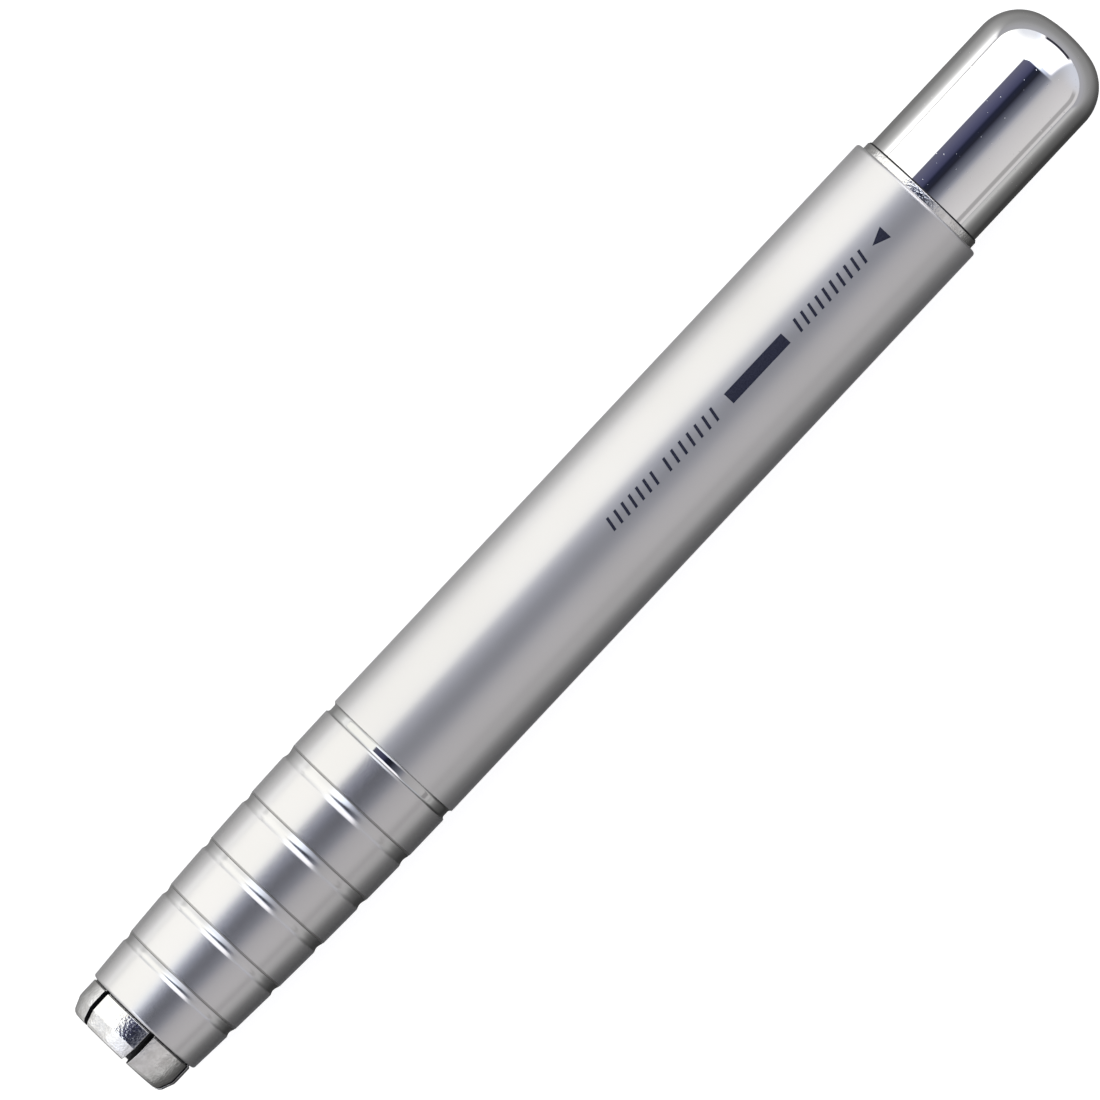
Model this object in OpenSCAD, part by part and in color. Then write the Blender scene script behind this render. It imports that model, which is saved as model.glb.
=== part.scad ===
// Push-button pencil holder. A six-jaw collet grips a pencil at the nose, a spring keeps it shut,
// and the domed button at the other end opens it.
// It lies along X with its jaws towards -X, and rests on its barrel at Z = 0.
// Every turned part is drawn as points of [radius, distance along the axis],
// and that distance is 0 at the rim of the barrel's nose and grows towards the button.

/* [Barrel] */
// Outside diameter of the straight part of the barrel
barrel_d = 12; // [12:0.05:12.6]
// Length from the nose rim to the rear edge
barrel_l = 84.4; // [80:0.1:100]
// Outside diameter at the nose, before its edge is rounded
nose_d = 10.18; // [10.12:0.02:10.6]
// Length over which the grip narrows to the nose
grip_l = 27.4; // [27.3:0.1:30]
// Distance from the nose rim to the middle of the first grip groove
groove_first = 3.94; // [3.8:0.01:4.08]
// Distance from one grip groove to the next
groove_pitch = 4.57; // [4.4:0.01:4.58]
// Number of grip grooves
groove_count = 6; // [4:1:6]
// Depth of each grip groove but the last
groove_depth = 0.13; // [0.08:0.01:0.2]
// Depth of the last grip groove, which closes the grip
last_groove_depth = 0.2; // [0.12:0.01:0.3]
// Width of the last grip groove
last_groove_w = 0.9; // [0.7:0.05:1.2]

/* [Collet] */
// Diameter that the closed jaws grip
jaw_bore_d = 6.9; // [6.7:0.05:7.1]
// Outside diameter of the jaw heads
jaw_head_d = 9.72; // [9.7:0.02:9.9]
// Length of the jaw heads in front of the nose rim
jaw_out = 3; // [2.8:0.1:3.4]
// Width of the slits between the jaws
slit_w = 0.5; // [0.3:0.05:0.7]
// Angle from straight up to the first slit
slit_turn = 13; // [0:1:59]

/* [Button] */
// Outside diameter of the button
button_d = 10.58; // [10.5:0.02:10.6]
// Length of the button and bush lip behind the barrel
button_out = 16.74; // [15:0.02:20]
// Radius of the button's round shoulder
shoulder_r = 3.8; // [3.2:0.05:4.2]
// Radius of the button's crown
crown_r = 11; // [9:0.1:14]
// How far the button can be pushed
travel = 3.5; // [2.5:0.1:3.5]

/* [Spring] */
// Wire diameter of the return spring
wire_d = 0.75; // [0.6:0.05:0.78]
// Number of turns, with one closed turn at each end
spring_turns = 9; // [6:1:14]

/* [Hidden] */
$fn = 96;

over = 1;             // how far a cut runs past the face it opens
gap = 0.05;           // running gap between pieces that move on each other
seat = 0.01;          // gap between pieces that are fixed together
barrel_r = barrel_d / 2;
nose_r = nose_d / 2;

// Inside of the barrel, from the nose back
mouth_r = 4.8;        // closing cone at the rim
throat_r = 4.55;      // closing cone at its small end
cone_l = 2.5;
throat_l = 0.4;
guide_r = 4.75;       // bore that the collet slides in
seat_a = 50;          // shoulder that carries the spring
spring_bore_r = 5.45;
bush_r = 5.65;        // counterbore of the rear bush
bush_l = 9.5;
bush_a = barrel_l - bush_l;

// Grip grooves have soft shoulders and widen towards the barrel, and the last has sharp edges
groove_w_first = 1.05;
groove_w_step = 0.08;
groove_steps = 12;
nose_round = 0.22;
rear_round = 0.25;

// Collet
pencil_r = 3.92;      // room for the pencil behind the jaw heads
finger_r = 4.2;
jaw_fit = 0.06;       // from jaw cone to closing cone
jaw_clear = 0.14;     // from jaw heads to the nose rim
jaw_cone_l = 2.3;
head_round = 0.35;    // inner edge of the jaws' front face
grip_end_a = 0.9;     // where the gripping bore ends
root_a = 17;          // where the fingers leave the collet's base
root_gap = 0.06;
jaw_angle = 60;
base_l = 10.5;
tube_socket = 4.5;    // depth of the tube in the collet's base

// Draw tube and what it carries
tube_in_r = 3.95;
tube_r = 4.35;
tube_end_a = barrel_l + 11;
loose = 0.1;          // gap round a washer or ring that fits freely
collar_l = 2.2;
collar_flange = 1;
collar_a = bush_a - 3;
clip_groove_r = 4.15;
clip_groove_gap = 0.02;
clip_w = 0.6;
clip_t = 0.5;
clip_a = collar_a + collar_l + loose;
clip_opening = 70;    // angle of the gap in the snap ring
washer_t = 0.45;

// Button
button_r = button_d / 2;
button_wall = 0.4;
button_gap = 0.05;
stop_a = bush_a + 1;  // rear face of the bush's inner flange
stop_t = 0.5;
skirt_a = stop_a + stop_t + travel + gap;
top_a = barrel_l + button_out;
core_a = tube_end_a + 0.2;
core_wall = 1.5;
core_chamfer = 0.5;
pad_t = 1.4;
lip_r = 5.48;
lip_out = 0.72;
lip_round = 0.06;
bush_recess = 0.2;
flange_r = tube_r + 0.08;

// Helical spring
coil_r = 4.9;
coil_steps = 16;
wire_sides = 8;
closed_pitch = wire_d + 0.02;

nose_x = jaw_out - (jaw_out + top_a) / 2;

// Outside radius of the grip's envelope at a distance from the nose rim
function envelope(a) = barrel_r - (barrel_r - nose_r) * pow(max(0, 1 - a / grip_l), 2);
function groove_a(i) = groove_first + i * groove_pitch;
function groove_w(i) = groove_w_first + i * groove_w_step;
// Radius of the circle that cuts a groove of this width and depth
function cutter_r(w, d) = (w * w / 4 + d * d) / (2 * d);
// Outline of soft groove i, one wave deep
function soft_groove(i) = [for (k = [0:groove_steps])
    let(a = groove_a(i) + groove_w(i) * (k / groove_steps - 0.5))
    [envelope(a) - groove_depth * (1 - cos(360 * k / groove_steps)) / 2, a]];
// Points round a circle from one angle to another
function arc(x, y, r, from, to, n) =
    [for (i = [0:n]) let(t = from + (to - from) * i / n) [x + r * cos(t), y + r * sin(t)]];
function reversed(list) = [for (i = [len(list) - 1:-1:0]) list[i]];

// Lays a part that was drawn along Z down along X, on its barrel
module lay() {
    translate([nose_x, 0, barrel_r]) rotate([0, 90, 0]) children();
}

module turned(points) {
    rotate_extrude() polygon(points);
}

// A turned washer or ring with square edges
module ring(inner, outer, from, to) {
    turned([[inner, from], [outer, from], [outer, to], [inner, to]]);
}

// The corner outside a fillet of radius r, to be cut from an outline
module outside_fillet(r) {
    difference() {
        square(r + over);
        circle(r);
    }
}

module barrel_outline() {
    middle = groove_pitch / 2;
    polygon(concat(
        [[0, 0], [nose_r, 0], [envelope(middle - 1), middle - 1]],
        [for (i = [0:groove_count - 2]) each concat(
            soft_groove(i), [[envelope(groove_a(i) + middle), groove_a(i) + middle]])],
        [[barrel_r, grip_l], [barrel_r, barrel_l], [0, barrel_l]]
    ));
}

// The last groove, with sharp edges
module last_groove() {
    r = cutter_r(last_groove_w, last_groove_depth);
    a = groove_a(groove_count - 1);
    translate([envelope(a) - last_groove_depth + r, a]) circle(r);
}

module barrel_bore() {
    slope = (mouth_r - throat_r) / cone_l;
    opening = guide_r - throat_r;
    polygon([
        [0, -over], [mouth_r + slope * over, -over],
        [throat_r, cone_l], [throat_r, cone_l + throat_l],
        [guide_r, cone_l + throat_l + opening], [guide_r, seat_a],
        [spring_bore_r, seat_a], [spring_bore_r, bush_a],
        [bush_r, bush_a], [bush_r, barrel_l + over], [0, barrel_l + over]
    ]);
}

module barrel() {
    color("silver") rotate_extrude() difference() {
        barrel_outline();
        barrel_bore();
        last_groove();
        translate([barrel_r - rear_round, barrel_l - rear_round]) outside_fillet(rear_round);
        translate([nose_r - nose_round, nose_round]) mirror([0, 1]) outside_fillet(nose_round);
    }
}

// Plated guide for the button, with a thin lip that stands out of the barrel
module rear_bush() {
    top = barrel_l + lip_out;
    bore = button_r + button_gap;
    color("gainsboro") turned(concat(
        [[flange_r, bush_a + seat], [bush_r - seat, bush_a + seat]],
        [[bush_r - seat, barrel_l - bush_recess], [lip_r, barrel_l - bush_recess]],
        arc(lip_r - lip_round, top - lip_round, lip_round, 0, 90, 3),
        [[bore, top], [bore, stop_a], [flange_r, stop_a]]
    ));
}

// Soft ring that the button lands on at the end of its travel
module stop_washer() {
    color("ivory") ring(tube_r + loose, button_r - gap, stop_a + seat, stop_a + stop_t);
}

// Steel washer between the barrel's shoulder and the spring
module spring_seat() {
    color("lightgray") ring(tube_r + loose, spring_bore_r - gap, seat_a + seat, seat_a + washer_t);
}

// Centre line of the wire along the axis, after a number of turns
function coil_a(t) =
    let(
        low = seat_a + washer_t + seat + wire_d / 2,
        high = collar_a - seat - wire_d / 2,
        pitch = (high - low - 2 * closed_pitch) / (spring_turns - 2)
    )
    t < 1 ? low + closed_pitch * t
    : t > spring_turns - 1 ? high - closed_pitch * (spring_turns - t)
    : low + closed_pitch + pitch * (t - 1);

module return_spring() {
    rings = spring_turns * coil_steps;
    points = [for (i = [0:rings], j = [0:wire_sides - 1])
        let(
            turn = 360 * i / coil_steps,
            side = 360 * j / wire_sides,
            r = coil_r + wire_d / 2 * cos(side)
        )
        [r * cos(turn), r * sin(turn), coil_a(i / coil_steps) + wire_d / 2 * sin(side)]];
    walls = [for (i = [0:rings - 1], j = [0:wire_sides - 1])
        let(a = i * wire_sides + j, b = i * wire_sides + (j + 1) % wire_sides)
        each [[a, a + wire_sides, b], [b, a + wire_sides, b + wire_sides]]];
    ends = [
        [for (j = [0:wire_sides - 1]) j],
        [for (j = [wire_sides - 1:-1:0]) rings * wire_sides + j]
    ];
    color("darkgray") polyhedron(points, concat(walls, ends));
}

// Root of the collet, which slides in the barrel and is screwed onto the draw tube
module collet_base() {
    end = root_a + base_l;
    socket_a = end - tube_socket;
    color("gainsboro") turned([
        [pencil_r, root_a], [finger_r, root_a], [finger_r, root_a + 2],
        [guide_r - gap, root_a + 2.5], [guide_r - gap, end - 0.3], [guide_r - gap - 0.3, end],
        [tube_r + seat, end], [tube_r + seat, socket_a], [pencil_r, socket_a]
    ]);
}

module draw_tube() {
    from = root_a + base_l - tube_socket + seat;
    color("goldenrod") difference() {
        ring(tube_in_r, tube_r, from, tube_end_a);
        ring(clip_groove_r, tube_r + over, clip_a - clip_groove_gap, clip_a + clip_t + clip_groove_gap);
    }
}

// Flanged collar that the spring pushes on
module spring_collar() {
    rim = spring_bore_r - loose;
    hub = tube_r + 0.5;
    color("goldenrod") turned([
        [tube_r + seat, collar_a], [rim, collar_a],
        [rim, collar_a + collar_flange], [hub, collar_a + collar_flange],
        [hub, collar_a + collar_l], [tube_r + seat, collar_a + collar_l]
    ]);
}

// Open ring that sits in the draw tube's groove behind the collar
module snap_ring() {
    color("dimgray") rotate([0, 0, clip_opening / 2])
        rotate_extrude(angle = 360 - clip_opening)
            translate([clip_groove_r + clip_groove_gap, clip_a]) square([clip_w, clip_t]);
}

// Outline of a domed end, from its side up to its tip
function dome(r, shoulder, crown, top) =
    let(
        across = r - shoulder,
        up = sqrt(pow(crown - shoulder, 2) - across * across),
        tangent = atan2(up, across),
        rest = arc(0, top - crown, crown, tangent, 90, 10)
    )
    concat(
        arc(across, top - crown + up, shoulder, 0, tangent, 10),
        [for (i = [1:9]) rest[i]],
        [[0, top]]
    );

module button_cap() {
    inner = dome(button_r - button_wall, shoulder_r - button_wall, crown_r - button_wall,
                 top_a - button_wall);
    color("gainsboro") turned(concat(
        [[button_r, skirt_a]],
        dome(button_r, shoulder_r, crown_r, top_a),
        reversed(inner),
        [[button_r - button_wall, skirt_a]]
    ));
}

// Plastic plug that fixes the button to the draw tube
module button_core() {
    outer = button_r - button_wall - seat;
    end = core_a + core_wall;
    color("dimgray") turned([
        [tube_r + seat, skirt_a], [outer, skirt_a],
        [outer, end - core_chamfer], [outer - core_chamfer, end], [0, end],
        [0, core_a], [tube_r + seat, core_a]
    ]);
}

// Rubber pad that the end of the pencil meets
module pencil_stop() {
    color("darkslategray") translate([0, 0, core_a - seat - pad_t])
        cylinder(r = tube_in_r - seat, h = pad_t);
}

// Outline of one jaw: head, closing cone, finger, then back along its inside
function jaw_points() =
    let(
        head = jaw_head_d / 2,
        bore = jaw_bore_d / 2,
        slope = (mouth_r - throat_r) / cone_l,
        cone = mouth_r - jaw_fit
    )
    [
        [bore + head_round, -jaw_out], [head - 0.76, -jaw_out], [head - 0.5, -jaw_out + 0.13],
        [head - 0.28, -jaw_out + 0.45], [head - 0.04, -jaw_out + 1.15], [head, -jaw_out + 1.5],
        [head, -jaw_clear], [cone, -jaw_clear], [cone - slope * jaw_cone_l, jaw_cone_l],
        [finger_r, jaw_cone_l + 0.25], [finger_r, root_a - root_gap], [pencil_r, root_a - root_gap],
        [pencil_r, grip_end_a + 0.7], [bore, grip_end_a], [bore, -jaw_out + 0.5]
    ];

// Jaw k of six, a sixth of a ring less half a slit on each side
module jaw(k) {
    from = 180 + slit_turn + jaw_angle * (k - 1);
    color("gainsboro") difference() {
        rotate([0, 0, from]) rotate_extrude(angle = jaw_angle) polygon(jaw_points());
        for (side = [0, 1])
            rotate([0, 0, from + side * jaw_angle])
                translate([0, -slit_w / 2, -jaw_out - over])
                    cube([barrel_r, slit_w, jaw_out + root_a + 2 * over]);
    }
}

lay() barrel();
lay() rear_bush();
lay() stop_washer();
lay() spring_seat();
lay() return_spring();
lay() collet_base();
lay() draw_tube();
lay() spring_collar();
lay() snap_ring();
lay() button_cap();
lay() button_core();
lay() pencil_stop();
lay() jaw(1);  // jaw_1
lay() jaw(2);  // jaw_2
lay() jaw(3);  // jaw_3
lay() jaw(4);  // jaw_4
lay() jaw(5);  // jaw_5
lay() jaw(6);  // jaw_6
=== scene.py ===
"""Looks of a push-button pencil holder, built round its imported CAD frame.

The holder lies along X with its jaws towards -X. Turned pieces are drawn as outlines of
(a, r) in millimetres: a runs along the axis from the nose rim towards the button.
"""
import math

import bmesh
import bpy
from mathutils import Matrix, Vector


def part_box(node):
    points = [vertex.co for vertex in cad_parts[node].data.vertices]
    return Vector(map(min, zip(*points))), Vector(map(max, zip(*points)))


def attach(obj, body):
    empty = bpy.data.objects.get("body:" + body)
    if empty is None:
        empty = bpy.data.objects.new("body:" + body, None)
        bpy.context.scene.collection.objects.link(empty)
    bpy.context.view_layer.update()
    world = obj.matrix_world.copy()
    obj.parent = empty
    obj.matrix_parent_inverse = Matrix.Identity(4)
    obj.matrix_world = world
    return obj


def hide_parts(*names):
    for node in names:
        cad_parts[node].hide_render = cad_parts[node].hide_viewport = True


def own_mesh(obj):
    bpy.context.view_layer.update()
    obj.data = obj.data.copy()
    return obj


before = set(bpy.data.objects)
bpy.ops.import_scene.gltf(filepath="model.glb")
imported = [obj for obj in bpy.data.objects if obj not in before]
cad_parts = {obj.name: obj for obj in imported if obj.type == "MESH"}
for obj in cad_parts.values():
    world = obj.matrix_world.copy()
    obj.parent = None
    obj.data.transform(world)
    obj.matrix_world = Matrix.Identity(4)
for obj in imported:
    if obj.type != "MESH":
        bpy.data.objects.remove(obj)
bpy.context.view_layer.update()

MM = 0.001

# Places taken from the frame
barrel_low, barrel_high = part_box("barrel")
NOSE_X = barrel_low.x
AXIS_Z = (barrel_low.z + barrel_high.z) / 2
BARREL_R = (barrel_high.z - barrel_low.z) / 2 / MM
BARREL_L = (barrel_high.x - barrel_low.x) / MM


def along(x):
    """Distance from the nose rim in millimetres of a place on the X axis in metres."""
    return (x - NOSE_X) / MM


# Grip, in the places where the CAD has it
NOSE_R = 5.09
GRIP_L = 27.4
GROOVES = 6
GROOVE_FIRST = 3.94
GROOVE_PITCH = 4.57
NOSE_ROUND = 0.22
REAR_ROUND = 0.25

# Section of the soft grooves, each a little wider than the one before it
GROOVE_W = 1.05
GROOVE_W_STEP = 0.08
GROOVE_DEPTH = 0.13
GROOVE_SKEW = 0.72      # below 1 puts the deepest place nearer to the nose
STEP_AT = 0.79          # part of the width at which the wave ends and the step rises
STEP_EDGE = 0.19        # length of the step, which carries painted crease shade

# Section of the last groove
LAST_GROOVE_W = 0.9
LAST_GROOVE_DEPTH = 0.2

# Bore of the barrel as (a, r), from the rear edge to the cone that closes the jaws
BORE = [(BARREL_L, 5.65), (75, 5.65), (75, 5.45), (50, 5.45), (50, 4.75), (3.1, 4.75),
        (2.9, 4.55), (2.5, 4.55), (0, 4.8)]

# Material slots of the barrel; the inside slot is painted shade for the bore, and the edge slot is
# painted shade for the crease at each groove's step
BARREL_LOOKS = ("satin", "bright", "mirror", "inside", "grip", "edge")
SATIN, SOFT_GROOVE, MIRROR_GROOVE, PAINTED_BORE_SHADE, GRIP, STEP_SHADE = range(len(BARREL_LOOKS))

# Faces round a turned piece
TURNED_STEPS = 192


# ---------------------------------------------------------------- node graphs

class Graph:
    """Short ways to add nodes to a node tree."""

    def __init__(self, tree):
        self.nodes, self.links = tree.nodes, tree.links

    def feed(self, socket, value):
        if isinstance(value, bpy.types.NodeSocket):
            self.links.new(value, socket)
        else:
            socket.default_value = value

    def maths(self, operation, a, b=0.0):
        node = self.nodes.new("ShaderNodeMath")
        node.operation = operation
        self.feed(node.inputs[0], a)
        self.feed(node.inputs[1], b)
        return node.outputs[0]

    def product(self, first, *others):
        for other in others:
            first = self.maths("MULTIPLY", first, other)
        return first

    def step(self, value, start, end):
        """Rises from 0 at start to 1 at end, which may be lower than start."""
        node = self.nodes.new("ShaderNodeMapRange")
        node.interpolation_type = "SMOOTHSTEP"
        self.feed(node.inputs["Value"], value)
        self.feed(node.inputs["From Min"], start)
        self.feed(node.inputs["From Max"], end)
        return node.outputs[0]

    def ramp(self, value, low, high, stops):
        """Colours at places between low and high."""
        node = self.nodes.new("ShaderNodeValToRGB")
        elements = node.color_ramp.elements
        while len(elements) < len(stops):
            elements.new(0.5)
        for element, (place, colour) in zip(elements, stops):
            element.position = (place - low) / (high - low)
            element.color = (*colour, 1)
        self.feed(node.inputs[0], self.maths("DIVIDE", self.maths("SUBTRACT", value, low), high - low))
        return node.outputs[0]

    def mix(self, factor, a, b):
        node = self.nodes.new("ShaderNodeMix")
        node.data_type = "RGBA"
        self.feed(node.inputs["Factor"], factor)
        self.feed(node.inputs["A"], a)
        self.feed(node.inputs["B"], b)
        return node.outputs["Result"]

    def split(self, vector):
        node = self.nodes.new("ShaderNodeSeparateXYZ")
        self.links.new(vector, node.inputs[0])
        return node.outputs


def grey(value):
    return (value, value, value)


# ---------------------------------------------------------------- camera, floor and light

def make_camera():
    """Looks straight down on the holder, rolled so that the button points up and to the right."""
    middle_a = 46.5
    beside_axis = 2.0 * MM
    distance = 1.3
    view_width = 82.2 * MM
    roll = 46.82
    camera = bpy.data.cameras.new("camera")
    camera.sensor_width = 36
    camera.lens = camera.sensor_width * distance / view_width
    camera.clip_start = 0.01
    body = bpy.data.objects.new("camera", camera)
    body.location = (NOSE_X + middle_a * MM, beside_axis, AXIS_Z + distance)
    body.rotation_euler = (0, 0, -math.radians(roll))
    bpy.context.scene.collection.objects.link(body)
    bpy.context.scene.camera = body


def flat_square(name, half, z):
    mesh = bpy.data.meshes.new(name)
    mesh.from_pydata([(-half, -half, z), (half, -half, z), (half, half, z), (-half, half, z)],
                     [], [(0, 1, 2, 3)])
    square = bpy.data.objects.new(name, mesh)
    bpy.context.scene.collection.objects.link(square)
    return square


def make_floor():
    """A pale floor for the camera, just above a glowing card with painted table light and painted
    shade that only the holder's surfaces see.
    """
    floor_half, floor_z = 1.5, -0.02 * MM
    card_half, card_z = 15, -0.05 * MM
    floor = flat_square("floor", floor_half, floor_z)
    paper = Material("pale_floor", (0.4, 0.4, 0.4), roughness=0.9)
    paper.shader.inputs["Emission Color"].default_value = (1, 1, 1, 1)
    paper.shader.inputs["Emission Strength"].default_value = 0.8
    floor.data.materials.append(paper.material)
    floor.visible_glossy = floor.visible_diffuse = False
    card = flat_square("table_card", card_half, card_z)
    card.visible_camera = card.visible_shadow = False
    card.data.materials.append(table_card_material())


def table_card_material():
    """Painted light on the table, with painted shade of the holder: dim round the holder and dimmer on
    its -Y side.
    """
    material = bpy.data.materials.new("table_card")
    material.use_nodes = True
    graph = Graph(material.node_tree)
    graph.nodes.clear()
    place = graph.nodes.new("ShaderNodeTexCoord").outputs["Object"]
    x, y, _ = graph.split(place)
    past_end = graph.maths("MAXIMUM", graph.maths("SUBTRACT", graph.maths("ABSOLUTE", x), 45 * MM), 0)
    squares = graph.maths("ADD", graph.product(y, y), graph.product(past_end, past_end))
    distance = graph.maths("SQRT", squares)
    reach = 80 * MM
    lit = graph.ramp(distance, 0, reach, [
        (0, grey(0.24)), (11 * MM, grey(0.34)), (15 * MM, grey(0.56)), (22 * MM, grey(0.77)),
        (34 * MM, grey(1.0)), (50 * MM, grey(1.4)),
    ])
    lit_by_button = graph.ramp(distance, 0, reach, [
        (0, grey(0.18)), (11 * MM, grey(0.22)), (15 * MM, grey(0.34)), (22 * MM, grey(0.46)),
        (34 * MM, grey(0.76)), (50 * MM, grey(1.35)),
    ])
    lit = graph.mix(graph.step(x, 33 * MM, 37 * MM), lit, lit_by_button)
    shaded = graph.ramp(distance, 0, reach, [
        (0, grey(0.02)), (11 * MM, grey(0.045)), (15 * MM, grey(0.1)), (22 * MM, grey(0.15)),
        (34 * MM, grey(0.27)), (70 * MM, grey(0.58)),
    ])
    past_button = graph.ramp(distance, 0, reach, [
        (0, grey(0.08)), (8 * MM, (0.14, 0.135, 0.13)), (16 * MM, grey(0.26)),
        (40 * MM, (0.38, 0.38, 0.39)), (75 * MM, (0.42, 0.42, 0.45)),
    ])
    side = graph.step(y, -12 * MM, 12 * MM)
    beside = graph.mix(side, shaded, lit)
    beside = graph.mix(graph.step(x, 48 * MM, 62 * MM), beside, past_button)
    past_jaws = graph.product(graph.step(x, -55 * MM, -75 * MM), 0.7)
    emission = graph.nodes.new("ShaderNodeEmission")
    graph.feed(emission.inputs["Color"], graph.mix(past_jaws, beside, (0.6, 0.6, 0.6, 1)))
    output = graph.nodes.new("ShaderNodeOutputMaterial")
    graph.links.new(emission.outputs[0], output.inputs["Surface"])
    return material


def make_studio():
    """A tent of soft light with a dark opening overhead, brightest on the +Y side."""
    world = bpy.data.worlds.new("studio")
    bpy.context.scene.world = world
    world.use_nodes = True
    graph = Graph(world.node_tree)
    graph.nodes.clear()
    x, y, z = graph.split(graph.nodes.new("ShaderNodeTexCoord").outputs["Generated"])

    # Walls of the tent: a grey panel on the -Y side, a bright one on the +Y side
    walls = graph.ramp(y, -1, 1, [
        (-0.95, (0.45, 0.44, 0.445)), (-0.7, (0.4, 0.39, 0.4)), (-0.5, (0.33, 0.33, 0.345)),
        (-0.3, (0.3, 0.32, 0.39)), (-0.1, (0.5, 0.55, 0.68)), (0.1, (1.1, 1.2, 1.4)),
        (0.4, (1.3, 1.38, 1.5)), (0.5, (1.0, 0.995, 0.96)), (1, (1.0, 0.995, 0.96)),
    ])
    low_end = graph.step(x, -0.35, -0.8)
    low_wall = graph.ramp(y, -1, 1, [
        (-0.3, (0.42, 0.41, 0.42)), (-0.15, (0.62, 0.61, 0.63)), (0.5, (0.66, 0.65, 0.63)),
        (0.6, (0.4, 0.42, 0.48)),
    ])
    walls = graph.mix(graph.product(low_end, 0.8), walls, low_wall)
    # A soft dark seam low on the -Y wall
    endways = graph.maths("ABSOLUTE", x)
    seam = graph.product(graph.step(z, 0.08, 0.13), graph.step(z, 0.27, 0.22),
                         graph.step(y, -0.3, -0.7), graph.step(endways, 0.5, 0.3))
    walls = graph.mix(graph.product(seam, 0.4), walls, (0, 0, 0, 1))
    # Past the +X end: a white card, greyer corners beside it and a dark table edge under it
    sideways = graph.maths("ABSOLUTE", y)
    corners = graph.product(graph.step(x, 0.3, 0.7), graph.step(z, 0.8, 0.1))
    walls = graph.mix(graph.product(corners, 0.8), walls, (0.46, 0.48, 0.54, 1))
    card = graph.product(graph.step(x, 0.28, 0.4), graph.step(sideways, 0.42, 0.3))
    walls = graph.mix(graph.product(card, 0.9), walls, (1.15, 1.13, 1.18, 1))
    table_edge = graph.product(graph.step(x, 0.45, 0.7), graph.step(sideways, 0.36, 0.26),
                               graph.step(z, 0.16, 0.1))
    walls = graph.mix(table_edge, walls, (0.02, 0.02, 0.03, 1))

    # The opening overhead: navy on the +Y side, black in the middle, grey on the -Y side
    opening = graph.ramp(y, -0.6, 0.6, [
        (-0.52, (0.31, 0.305, 0.33)), (-0.44, (0.2, 0.205, 0.24)), (-0.37, (0.13, 0.135, 0.165)),
        (-0.27, (0.085, 0.09, 0.115)), (-0.17, (0.045, 0.048, 0.07)), (-0.09, (0.013, 0.014, 0.022)),
        (0.06, (0.012, 0.014, 0.03)), (0.13, (0.04, 0.042, 0.085)), (0.28, (0.066, 0.068, 0.12)),
        (0.42, (0.09, 0.09, 0.135)),
    ])
    # It narrows towards both ends
    reach = graph.maths("MAXIMUM", graph.maths("SUBTRACT", endways, 0.1), 0)
    bright_edge = graph.step(graph.maths("ADD", y, graph.product(reach, 1.7)), 0.489, 0.455)
    grey_edge = graph.step(graph.maths("SUBTRACT", y, graph.product(reach, 0.2)), -0.6, -0.5)
    lengthwise = graph.product(graph.step(x, 0.235, 0.165), graph.step(x, -0.48, -0.4))
    inside = graph.product(bright_edge, grey_edge, lengthwise)
    sky = graph.mix(inside, walls, opening)

    # The camera itself sees a plain white backdrop
    lighting = graph.nodes.new("ShaderNodeBackground")
    lighting.inputs["Strength"].default_value = 1.6
    graph.feed(lighting.inputs["Color"], sky)
    backdrop = graph.nodes.new("ShaderNodeBackground")
    backdrop.inputs["Color"].default_value = (1, 1, 1, 1)
    chosen = graph.nodes.new("ShaderNodeMixShader")
    graph.links.new(graph.nodes.new("ShaderNodeLightPath").outputs["Is Camera Ray"], chosen.inputs[0])
    graph.links.new(lighting.outputs[0], chosen.inputs[1])
    graph.links.new(backdrop.outputs[0], chosen.inputs[2])
    output = graph.nodes.new("ShaderNodeOutputWorld")
    graph.links.new(chosen.outputs[0], output.inputs["Surface"])
    bpy.context.scene.view_settings.view_transform = "Standard"


# ---------------------------------------------------------------- materials

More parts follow.
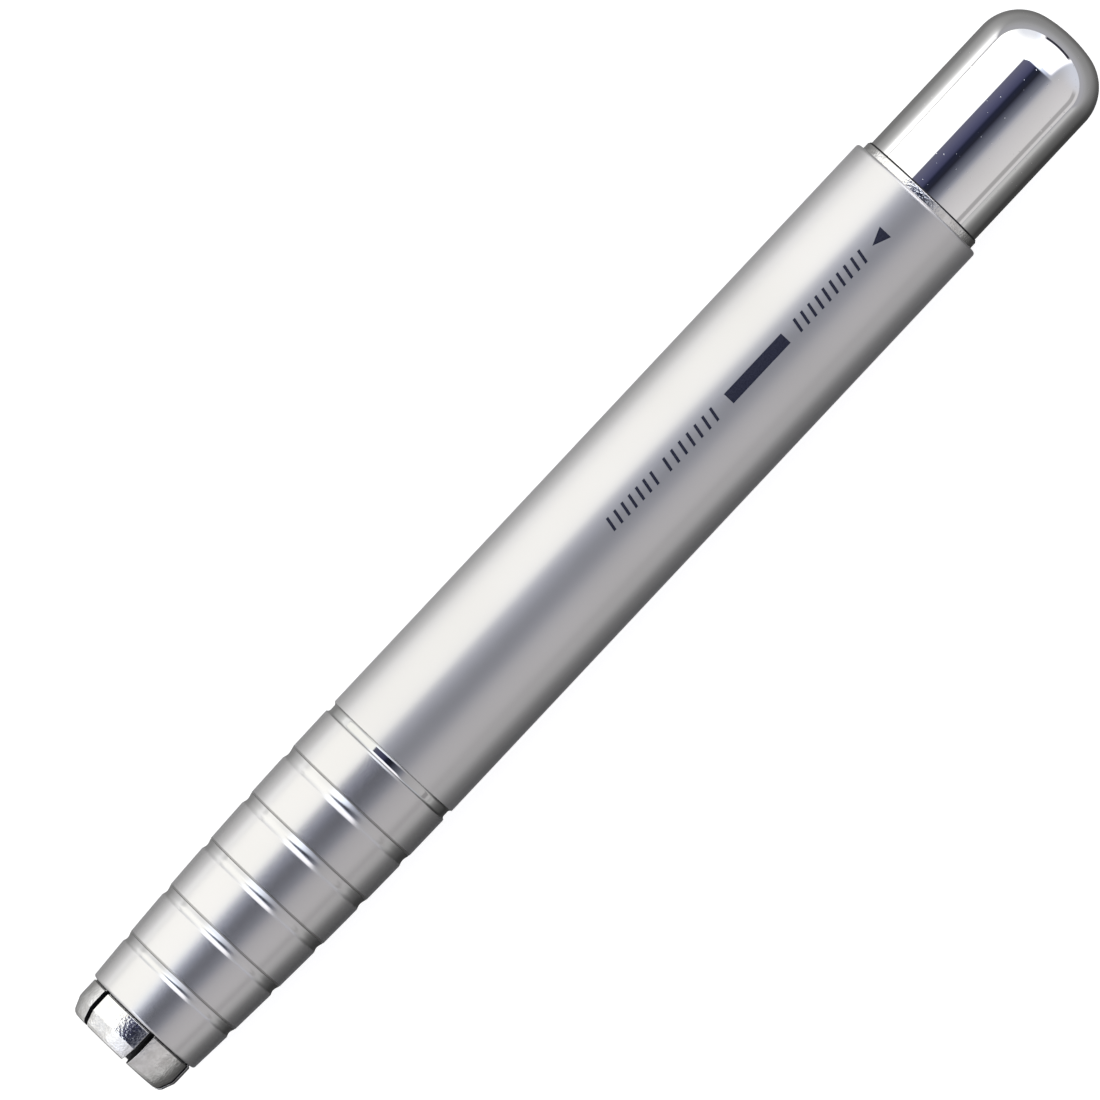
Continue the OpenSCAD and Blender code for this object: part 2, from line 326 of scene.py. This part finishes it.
class Material:
    """A Principled material whose noise is laid out in the holder's frame, in metres."""

    def __init__(self, name, colour, roughness=0.5, metallic=0.0):
        self.material = bpy.data.materials.new(name)
        self.material.use_nodes = True
        self.nodes = self.material.node_tree.nodes
        self.links = self.material.node_tree.links
        self.shader = self.nodes["Principled BSDF"]
        self.shader.inputs["Base Color"].default_value = (*colour, 1)
        self.shader.inputs["Roughness"].default_value = roughness
        self.shader.inputs["Metallic"].default_value = metallic
        self.place = self.nodes.new("ShaderNodeTexCoord").outputs["Object"]
        self.normal = None

    def noise(self, size_mm, detail, stretch=(1, 1, 1)):
        """Noise with spots of about size_mm, stretched along the holder's axes."""
        mapping = self.nodes.new("ShaderNodeMapping")
        mapping.inputs["Scale"].default_value = [1 / s for s in stretch]
        self.links.new(self.place, mapping.inputs[0])
        noise = self.nodes.new("ShaderNodeTexNoise")
        noise.inputs["Scale"].default_value = 1 / (size_mm * MM)
        noise.inputs["Detail"].default_value = detail
        self.links.new(mapping.outputs[0], noise.inputs["Vector"])
        return noise.outputs["Fac"]

    def rings(self, pitch_mm, distortion):
        """Turning lines round the X axis."""
        wave = self.nodes.new("ShaderNodeTexWave")
        wave.bands_direction = "X"
        wave.inputs["Scale"].default_value = 0.314 / (pitch_mm * MM)
        wave.inputs["Distortion"].default_value = distortion
        wave.inputs["Detail"].default_value = 1.0
        wave.inputs["Detail Scale"].default_value = 2.0
        self.links.new(self.place, wave.inputs["Vector"])
        return wave.outputs["Fac"]

    def specks(self, spacing_mm, size):
        """Sparse round specks, 1 inside and 0 outside."""
        cells = self.nodes.new("ShaderNodeTexVoronoi")
        cells.inputs["Scale"].default_value = 1 / (spacing_mm * MM)
        self.links.new(self.place, cells.inputs["Vector"])
        return self.remap(cells.outputs["Distance"], size, size * 0.6, 0, 1)

    def remap(self, value, low, high, to_low, to_high):
        node = self.nodes.new("ShaderNodeMapRange")
        for socket, number in zip(node.inputs[1:5], (low, high, to_low, to_high)):
            socket.default_value = number
        self.links.new(value, node.inputs[0])
        return node.outputs[0]

    def blend_colours(self, value, first, second):
        node = self.nodes.new("ShaderNodeMix")
        node.data_type = "RGBA"
        node.inputs["A"].default_value = (*first, 1)
        node.inputs["B"].default_value = (*second, 1)
        self.links.new(value, node.inputs["Factor"])
        self.links.new(node.outputs["Result"], self.shader.inputs["Base Color"])

    def mottle(self, size_mm, detail, first, second):
        """Wanders between two colours in spots of about size_mm."""
        self.blend_colours(self.remap(self.noise(size_mm, detail), 0.35, 0.65, 0, 1), first, second)

    def rough(self, value):
        self.links.new(value, self.shader.inputs["Roughness"])

    def rough_between(self, noise, low, high):
        self.rough(self.remap(noise, 0.3, 0.7, low, high))

    def bump(self, height, depth_mm):
        """Adds a bump of this depth on top of those before it."""
        node = self.nodes.new("ShaderNodeBump")
        node.inputs["Strength"].default_value = 1.0
        node.inputs["Distance"].default_value = depth_mm * MM
        self.links.new(height, node.inputs["Height"])
        if self.normal is not None:
            self.links.new(self.normal, node.inputs["Normal"])
        self.normal = node.outputs[0]
        self.links.new(self.normal, self.shader.inputs["Normal"])


def satin(name, roughness, metallic, first=(0.578, 0.57, 0.565), second=(0.6, 0.592, 0.592)):
    m = Material(name, first, metallic=metallic)
    m.shader.inputs["Sheen Weight"].default_value = 0.25
    m.shader.inputs["Sheen Roughness"].default_value = 0.35
    m.mottle(16, 2, first, second)
    m.rough_between(m.noise(5, 2, (4, 1, 1)), roughness - 0.015, roughness + 0.015)
    m.bump(m.noise(0.16, 1), 0.0008)
    m.bump(m.rings(0.12, 1.0), 0.0002)
    return m.material


def turned_groove():
    m = Material("turned_groove", (0.6, 0.6, 0.6), metallic=1)
    m.mottle(4, 2, (0.6, 0.595, 0.59), (0.63, 0.625, 0.625))
    m.rough_between(m.noise(3, 2), 0.2, 0.24)
    m.bump(m.rings(0.1, 0.5), 0.0002)
    return m.material


def mirror_groove():
    m = Material("mirror_groove", (0.56, 0.56, 0.555), metallic=1)
    m.mottle(3, 2, (0.55, 0.55, 0.54), (0.58, 0.58, 0.575))
    m.rough_between(m.noise(0.5, 2), 0.04, 0.08)
    m.bump(m.noise(0.8, 2), 0.001)
    return m.material


def painted_inside_shade():
    """Painted shade for surfaces deep inside: near-black metal that stands for the shade in the bore,
    the gaps and the slits.
    """
    m = Material("painted_inside_shade", (0.02, 0.02, 0.022), roughness=0.5, metallic=0.7)
    m.mottle(0.8, 3, (0.012, 0.012, 0.014), (0.03, 0.03, 0.033))
    m.rough_between(m.noise(0.3, 2), 0.4, 0.6)
    m.bump(m.rings(0.2, 0.6), 0.002)
    return m.material


def chrome_plate():
    m = Material("chrome_plate", (0.85, 0.85, 0.85), metallic=1)
    m.mottle(6, 2, (0.84, 0.835, 0.825), (0.865, 0.86, 0.86))
    pits = m.specks(0.55, 0.11)
    m.rough(m.remap(pits, 0, 1, 0.035, 0.3))
    m.bump(m.noise(2.5, 2), 0.0012)
    m.bump(m.noise(0.12, 1), 0.00012)
    m.bump(pits, 0.002)
    return m.material


def collet_chrome():
    m = Material("collet_chrome", (0.74, 0.735, 0.72), metallic=1)
    m.mottle(0.6, 3, (0.66, 0.65, 0.635), (0.8, 0.795, 0.785))
    m.rough_between(m.noise(0.35, 3), 0.06, 0.16)
    m.bump(m.noise(0.9, 2), 0.012)
    m.bump(m.noise(0.2, 2), 0.03)
    return m.material


def printed_ink():
    m = Material("printed_ink", (0.012, 0.013, 0.03))
    m.mottle(0.12, 3, (0.008, 0.009, 0.022), (0.022, 0.024, 0.045))
    m.rough_between(m.noise(0.2, 2), 0.35, 0.55)
    m.bump(m.noise(0.08, 2), 0.001)
    m.shader.inputs["Specular IOR Level"].default_value = 0.2
    return m.material


def spring_wire():
    m = Material("spring_wire", (0.5, 0.51, 0.53), metallic=1)
    m.mottle(1.5, 2, (0.47, 0.48, 0.5), (0.53, 0.54, 0.56))
    m.rough_between(m.noise(0.2, 3, (4, 1, 1)), 0.22, 0.42)
    m.bump(m.noise(0.1, 2), 0.002)
    return m.material


def turned_brass():
    m = Material("turned_brass", (0.75, 0.57, 0.27), metallic=1)
    m.mottle(2, 3, (0.70, 0.52, 0.25), (0.79, 0.61, 0.31))
    m.rough_between(m.noise(0.6, 3), 0.2, 0.36)
    m.bump(m.rings(0.1, 0.8), 0.0015)
    return m.material


def moulded_plastic(name, first, second):
    m = Material(name, first)
    m.mottle(1.5, 3, first, second)
    m.rough_between(m.noise(0.3, 2), 0.42, 0.58)
    m.bump(m.noise(0.08, 2), 0.003)
    return m.material


def dull_rubber():
    m = Material("dull_rubber", (0.03, 0.03, 0.03))
    m.blend_colours(m.noise(0.8, 3), (0.022, 0.022, 0.022), (0.045, 0.045, 0.045))
    m.rough_between(m.noise(0.2, 2), 0.7, 0.88)
    m.bump(m.noise(0.1, 3), 0.006)
    return m.material


# ---------------------------------------------------------------- shapes

def arc(a, r, radius, start, end, steps):
    """Points round a circle in the outline's plane: 0 degrees is outwards, 90 towards the button."""
    turns = [math.radians(start + (end - start) * i / steps) for i in range(steps + 1)]
    return [(a + radius * math.sin(t), r + radius * math.cos(t)) for t in turns]


def new_piece(name, mesh, body, sharp_deg=30):
    piece = bpy.data.objects.new(name, mesh)
    bpy.context.scene.collection.objects.link(piece)
    mesh.shade_smooth()
    mesh.set_sharp_from_angle(angle=math.radians(sharp_deg))
    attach(piece, body)
    return piece


def turned(name, outline, body, materials, slot_of=lambda a, r: 0):
    """Turns a closed outline of (a, r) about the holder's axis."""
    bm = bmesh.new()
    rings = []
    for a, r in outline:
        x = NOSE_X + a * MM
        if r < 1e-6:
            rings.append([bm.verts.new((x, 0, AXIS_Z))] * TURNED_STEPS)
            continue
        turns = [2 * math.pi * i / TURNED_STEPS for i in range(TURNED_STEPS)]
        rings.append([bm.verts.new((x, r * MM * math.sin(t), AXIS_Z + r * MM * math.cos(t)))
                      for t in turns])
    for k, (first, second) in enumerate(zip(rings, rings[1:] + rings[:1])):
        a, r = ((p + q) / 2 for p, q in zip(outline[k], outline[(k + 1) % len(outline)]))
        for i in range(TURNED_STEPS):
            j = (i + 1) % TURNED_STEPS
            corners = list(dict.fromkeys((first[i], first[j], second[j], second[i])))
            if len(corners) > 2:
                bm.faces.new(corners).material_index = slot_of(a, r)
    bmesh.ops.recalc_face_normals(bm, faces=bm.faces)
    mesh = bpy.data.meshes.new(name)
    bm.to_mesh(mesh)
    bm.free()
    for material in materials:
        mesh.materials.append(material)
    return new_piece(name, mesh, body)


def envelope(a):
    """Outside radius of the grip before its grooves are cut."""
    return BARREL_R - (BARREL_R - NOSE_R) * max(0, 1 - a / GRIP_L) ** 2


def groove_a(i):
    return GROOVE_FIRST + i * GROOVE_PITCH


def soft_groove(i, steps=28):
    """One soft wave, steeper towards the nose, with a small step up at its end."""
    width = GROOVE_W + GROOVE_W_STEP * i
    points = []
    for k in range(round(steps * STEP_AT) + 1):
        a = groove_a(i) + width * (k / steps - 0.5)
        wave = (1 - math.cos(2 * math.pi * (k / steps) ** GROOVE_SKEW)) / 2
        points.append((a, envelope(a) - GROOVE_DEPTH * wave))
    foot, low = points[-1]
    nick, ledge = 0.02, 0.05
    points.append((foot + nick, low - nick))
    shoulder = envelope(foot) - low
    points += arc(foot + ledge + shoulder, envelope(foot) - shoulder, shoulder, -80, 0, 6)
    points.append((foot + STEP_EDGE, envelope(foot + STEP_EDGE)))
    return points


def last_groove(steps=8):
    """A groove with crisp edges, round sides and a nearly flat bottom."""
    half, depth, side, flat = LAST_GROOVE_W / 2, LAST_GROOVE_DEPTH, 0.27, 3.0
    middle = groove_a(GROOVES - 1)
    top = envelope(middle)
    lean = math.degrees(math.acos(1 - depth / side))
    reach = half - side * math.sin(math.radians(lean))
    tilt = math.degrees(math.asin(reach / flat))
    edge = 0.05
    first = arc(middle - reach, top - depth + side, side, 180 + lean, 180 + tilt, steps)
    floor = arc(middle, top - depth + flat, flat, 180 + tilt, 180 - tilt, steps)
    second = arc(middle + reach, top - depth + side, side, 180 - tilt, 180 - lean, steps)
    return ([(middle - half - 3 * edge, top), (middle - half - edge, top - 0.02)]
            + first + floor[1:-1] + second + [(middle + half + edge, top)])


def barrel_outline():
    """Outside from the nose to the rear edge, then back through the bore."""
    points = arc(NOSE_ROUND, envelope(NOSE_ROUND) - NOSE_ROUND, NOSE_ROUND, -90, 0, 8)
    for i in range(GROOVES - 1):
        groove = soft_groove(i)
        start, stop = points[-1][0], groove[0][0]
        # Rings close to the groove keep the smooth shading of the band even
        for part in (0.02, 0.2, 0.4, 0.6, 0.8, 0.98):
            a = start + (stop - start) * part
            points.append((a, envelope(a)))
        points += groove
    groove = last_groove()
    before = groove[0][0] - 0.05
    points.append((before, envelope(before)))
    points += groove
    points += [(GRIP_L + (BARREL_L - GRIP_L) * part, BARREL_R)
               for part in (0, 0.2, 0.4, 0.6, 0.8, 0.96, 0.99, 0.995)]
    points += arc(BARREL_L - REAR_ROUND, BARREL_R - REAR_ROUND, REAR_ROUND, 0, 90, 8)
    return points + BORE


def barrel_slot(a, r):
    """Material slot of the faces whose middle is at (a, r)."""
    # The bore gets painted shade
    if r < envelope(a) - LAST_GROOVE_DEPTH - 0.05:
        return PAINTED_BORE_SHADE
    if abs(a - groove_a(GROOVES - 1)) < LAST_GROOVE_W / 2:
        return MIRROR_GROOVE
    for i in range(GROOVES - 1):
        width = GROOVE_W + GROOVE_W_STEP * i
        foot = groove_a(i) + (STEP_AT - 0.5) * width
        # The step at the end of each wave gets the painted crease shade
        if foot - 0.02 < a < foot + STEP_EDGE:
            return STEP_SHADE
        if abs(a - groove_a(i) + 0.03) < width * 0.36:
            return SOFT_GROOVE
    return GRIP if a < groove_a(GROOVES - 1) else SATIN


def make_barrel(materials):
    finishes = [materials[look] for look in BARREL_LOOKS]
    barrel = turned("barrel_shell", barrel_outline(), "holder", finishes, barrel_slot)
    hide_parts("barrel")


def make_bush(materials):
    low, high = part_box("rear_bush")
    front, top = along(low.x), along(high.x)
    body_r = (high.z - low.z) / 2 / MM
    lip_r, bore, guide_r = 5.48, 5.34, 4.43
    lip_round, seam, sunk = 0.05, 0.12, 0.2
    outline = [(front, guide_r), (front, body_r), (BARREL_L - sunk, body_r),
               (BARREL_L - sunk, lip_r)]
    outline += arc(top - seam - lip_round, lip_r - lip_round, lip_round, 0, 90, 6)
    outline += [(top, bore + 0.02), (top - seam, bore), (front + 1, bore), (front + 1, guide_r)]

    # Painted shade on the seam at the lip's end, in the bore and on the part sunk into the barrel
    def slot_of(a, r):
        return 1 if a > top - seam or r < bore + 0.01 or a < BARREL_L else 0

    bush = turned("guide_bush", outline, "holder", [materials["collet"], materials["inside"]], slot_of)
    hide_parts("rear_bush")


def dome(radius, shoulder, crown, top, steps=24):
    """A round shoulder that runs into a flatter crown."""
    across = radius - shoulder
    up = math.sqrt((crown - shoulder) ** 2 - across ** 2)
    tangent = math.degrees(math.atan2(up, across))
    return (arc(top - crown + up, across, shoulder, 0, tangent, steps)
            + arc(top - crown, 0, crown, tangent, 90, steps // 2)[1:])


def make_button(materials):
    low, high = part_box("button_cap")
    skirt, top = along(low.x), along(high.x)
    radius = (high.z - low.z) / 2 / MM
    wall, shoulder, crown, edge = 0.4, 3.8, 11.0, 0.08
    outer = dome(radius, shoulder, crown, top)
    inner = dome(radius - wall, shoulder - wall, crown - wall, top - wall, 12)
    side = [(skirt + (outer[0][0] - skirt) * part, radius) for part in (0.03, 0.5, 0.97, 0.995)]
    outline = arc(skirt + edge, radius - edge, edge, -90, 0, 4) + side + outer + inner[::-1]
    outline += [(skirt, radius - wall)]
    button = turned("button_shell", outline, "push", [materials["chrome"]])
    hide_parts("button_cap")


JAWS = 6
SLIT_W = 0.5
SLIT_TURN = 13          # degrees from the top to the first slit
JAW_STEPS = 16
CHROME, PAINTED_SHADE = 0, 1     # material slots of a jaw; the second holds painted shade


def jaw_outline():
    """Head, closing cone and finger, then back along the inside."""
    low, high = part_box("jaw_1")
    front, root = along(low.x), along(high.x)
    head, bore, pencil, finger, cone = 4.86, 3.45, 3.92, 4.2, 4.74
    outside = [
        (front, bore + 0.35), (front, head - 0.76), (front + 0.09, head - 0.56),
        (front + 0.27, head - 0.4), (front + 1.2, head - 0.02), (front + 1.5, head), (-0.2, head),
    ]
    inside = [
        (-0.14, head - 0.06), (-0.14, cone), (0.45, cone - 0.055), (2.3, cone - 0.23), (2.55, finger),
        (root, finger), (root, pencil), (1.6, pencil), (0.9, bore), (front + 0.5, bore),
    ]
    return outside, inside


def make_jaw(k, materials):
    """Jaw k of six: a sector of the collet with flat sides along the slits, which carry painted shade.
    """
    start = SLIT_TURN + 360 / JAWS * (k - 1)
    outside, inside = jaw_outline()
    head_end = len(outside) - 1
    closing_cone = range(head_end + 3, head_end + 6)    # the faces that the nose closes on
    bm = bmesh.new()
    columns = []
    for a, r in outside + inside:
        margin = math.degrees(math.asin(SLIT_W / 2 / r))
        span = 360 / JAWS - 2 * margin
        turns = [math.radians(start + margin + span * i / JAW_STEPS) for i in range(JAW_STEPS + 1)]
        columns.append([bm.verts.new((NOSE_X + a * MM, -r * MM * math.sin(t),
                                      AXIS_Z + r * MM * math.cos(t))) for t in turns])
    # The gap behind the head, the front of the cone, the inside and the slit sides get painted shade;
    # the outside and the rest of the cone are chrome
    for n, (first, second) in enumerate(zip(columns, columns[1:] + columns[:1])):
        for i in range(JAW_STEPS):
            face = bm.faces.new((first[i], first[i + 1], second[i + 1], second[i]))
            face.material_index = CHROME if n < head_end or n in closing_cone else PAINTED_SHADE
    for side in (0, JAW_STEPS):
        bm.faces.new([column[side] for column in columns]).material_index = PAINTED_SHADE
    bmesh.ops.recalc_face_normals(bm, faces=bm.faces)
    mesh = bpy.data.meshes.new(f"jaw_{k}_head")
    bm.to_mesh(mesh)
    bm.free()
    mesh.materials.append(materials["collet"])
    mesh.materials.append(materials["inside"])
    jaw = new_piece(f"jaw_{k}_finger", mesh, f"jaw_{k}", 12)
    bevel = jaw.modifiers.new("edges", "BEVEL")
    bevel.width = 0.05 * MM
    bevel.segments = 2
    bevel.limit_method = "ANGLE"
    bevel.angle_limit = math.radians(40)
    bevel.harden_normals = True
    bevel.material = CHROME
    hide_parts(f"jaw_{k}")


def make_spring(materials):
    """A closed-end compression spring, wound round the draw tube."""
    low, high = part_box("return_spring")
    wire_width = 0.75
    wire = wire_width / 2 * MM
    coil = (high.z - low.z) / 2 - wire
    turns, steps, sides = 9, 40, 14
    start, end = low.x + wire, high.x - wire
    closed = 2 * wire + 0.02 * MM
    pitch = (end - start - 2 * closed) / (turns - 2)

    def centre(t):
        if t < 1:
            return start + closed * t
        if t > turns - 1:
            return end - closed * (turns - t)
        return start + closed + pitch * (t - 1)

    bm = bmesh.new()
    loops = []
    for i in range(turns * steps + 1):
        turn = 2 * math.pi * i / steps
        x = centre(i / steps)
        loop = []
        for j in range(sides):
            side = 2 * math.pi * j / sides
            r = coil + wire * math.cos(side)
            loop.append(bm.verts.new((x + wire * math.sin(side), r * math.sin(turn),
                                      AXIS_Z + r * math.cos(turn))))
        loops.append(loop)
    for first, second in zip(loops, loops[1:]):
        for j in range(sides):
            n = (j + 1) % sides
            bm.faces.new((first[j], first[n], second[n], second[j]))
    bm.faces.new(loops[0])
    bm.faces.new(loops[-1])
    bmesh.ops.recalc_face_normals(bm, faces=bm.faces)
    mesh = bpy.data.meshes.new("coil_spring")
    bm.to_mesh(mesh)
    bm.free()
    mesh.materials.append(materials["wire"])
    spring = new_piece("coil_spring", mesh, "holder", 50)
    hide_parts("return_spring")
    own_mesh(spring)


INK_PROUD = 0.012
INK_SUNK = 0.02
# Rows of ticks: first and last place along the barrel, and how many
TICK_ROWS = ((50.9, 55.6, 7), (57.0, 62.1, 7), (71.2, 78.2, 10))
TICK_HEIGHT = 1.1
TICK_WIDTH = 0.24
TICK_SLANT = 0.22
# The bar and the arrow, as places along the barrel and half heights
BAR_FROM, BAR_TO, BAR_HALF = 63.8, 70.0, 0.5
ARROW_TIP, ARROW_BACK, ARROW_HALF = 79.4, 80.83, 0.58
ARROW_TIP_HALF = 0.001


def ink_patch(bm, corners):
    """A thin closed patch of ink on the top of the barrel. Each side of it is (a, girth) from
    the lower edge to the upper edge, in millimetres, where girth is measured round the barrel."""
    steps = 8
    layers = []
    for lift in (-INK_SUNK, INK_PROUD):
        r = BARREL_R + lift
        rows = []
        for i in range(steps + 1):
            row = []
            for (low_a, low_g), (high_a, high_g) in corners:
                a = low_a + (high_a - low_a) * i / steps
                turn = (low_g + (high_g - low_g) * i / steps) / BARREL_R
                row.append(bm.verts.new((NOSE_X + a * MM, r * MM * math.sin(turn),
                                         AXIS_Z + r * MM * math.cos(turn))))
            rows.append(row)
        layers.append(rows)
    under, over = layers
    for i in range(steps):
        bm.faces.new((over[i][0], over[i][1], over[i + 1][1], over[i + 1][0]))
        bm.faces.new((under[i][0], under[i + 1][0], under[i + 1][1], under[i][1]))
        for side in (0, 1):
            bm.faces.new((under[i][side], over[i][side], over[i + 1][side], under[i + 1][side]))
    for i in (0, steps):
        bm.faces.new((under[i][0], under[i][1], over[i][1], over[i][0]))


def make_print(materials):
    """Plain printed marks along the barrel: rows of slanted ticks, a bar and an arrow."""
    bm = bmesh.new()
    half = TICK_HEIGHT / 2
    lean = TICK_SLANT * half
    for start, end, count in TICK_ROWS:
        for i in range(count):
            a = start + (end - start) * i / (count - 1)
            ink_patch(bm, [((a - lean, -half), (a + lean, half)),
                           ((a - lean + TICK_WIDTH, -half), (a + lean + TICK_WIDTH, half))])
    ink_patch(bm, [((BAR_FROM, -BAR_HALF), (BAR_FROM, BAR_HALF)),
                   ((BAR_TO, -BAR_HALF), (BAR_TO, BAR_HALF))])
    ink_patch(bm, [((ARROW_TIP, -ARROW_TIP_HALF), (ARROW_TIP, ARROW_TIP_HALF)),
                   ((ARROW_BACK, -ARROW_HALF), (ARROW_BACK, ARROW_HALF))])
    bmesh.ops.recalc_face_normals(bm, faces=bm.faces)
    mesh = bpy.data.meshes.new("printed_marks")
    bm.to_mesh(mesh)
    bm.free()
    mesh.materials.append(materials["ink"])
    marks = new_piece("printed_marks", mesh, "holder")


def finish_inner_pieces(materials):
    """Gives each CAD node that stays its material and smooth round faces."""
    looks = {
        "stop_washer": "pale", "spring_seat": "wire", "collet_base": "collet",
        "draw_tube": "brass", "spring_collar": "brass", "snap_ring": "wire",
        "button_core": "dark", "pencil_stop": "rubber",
    }
    for name, look in looks.items():
        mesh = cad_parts[name].data
        mesh.materials.clear()
        mesh.materials.append(materials[look])
        mesh.shade_smooth()
        mesh.set_sharp_from_angle(angle=math.radians(30))


materials = {
    "satin": satin("satin_aluminium", 0.3, 0.85),
    "grip": satin("satin_grip", 0.25, 0.92),
    # Painted shade: a darker satin for the crease at each groove's step
    "edge": satin("groove_step_shade", 0.28, 0.95, (0.31, 0.305, 0.3), (0.35, 0.345, 0.34)),
    "bright": turned_groove(),
    # Painted shade: near-black metal for the bore, gaps and slits
    "inside": painted_inside_shade(),
    "mirror": mirror_groove(),
    "chrome": chrome_plate(),
    "collet": collet_chrome(),
    "ink": printed_ink(),
    "wire": spring_wire(),
    "brass": turned_brass(),
    "dark": moulded_plastic("dark_plastic", (0.025, 0.027, 0.035), (0.04, 0.042, 0.05)),
    "pale": moulded_plastic("pale_plastic", (0.72, 0.7, 0.64), (0.78, 0.76, 0.7)),
    "rubber": dull_rubber(),
}

make_camera()
make_floor()
make_studio()
make_barrel(materials)
make_bush(materials)
make_button(materials)
for number in range(1, JAWS + 1):
    make_jaw(number, materials)
make_spring(materials)
make_print(materials)
finish_inner_pieces(materials)
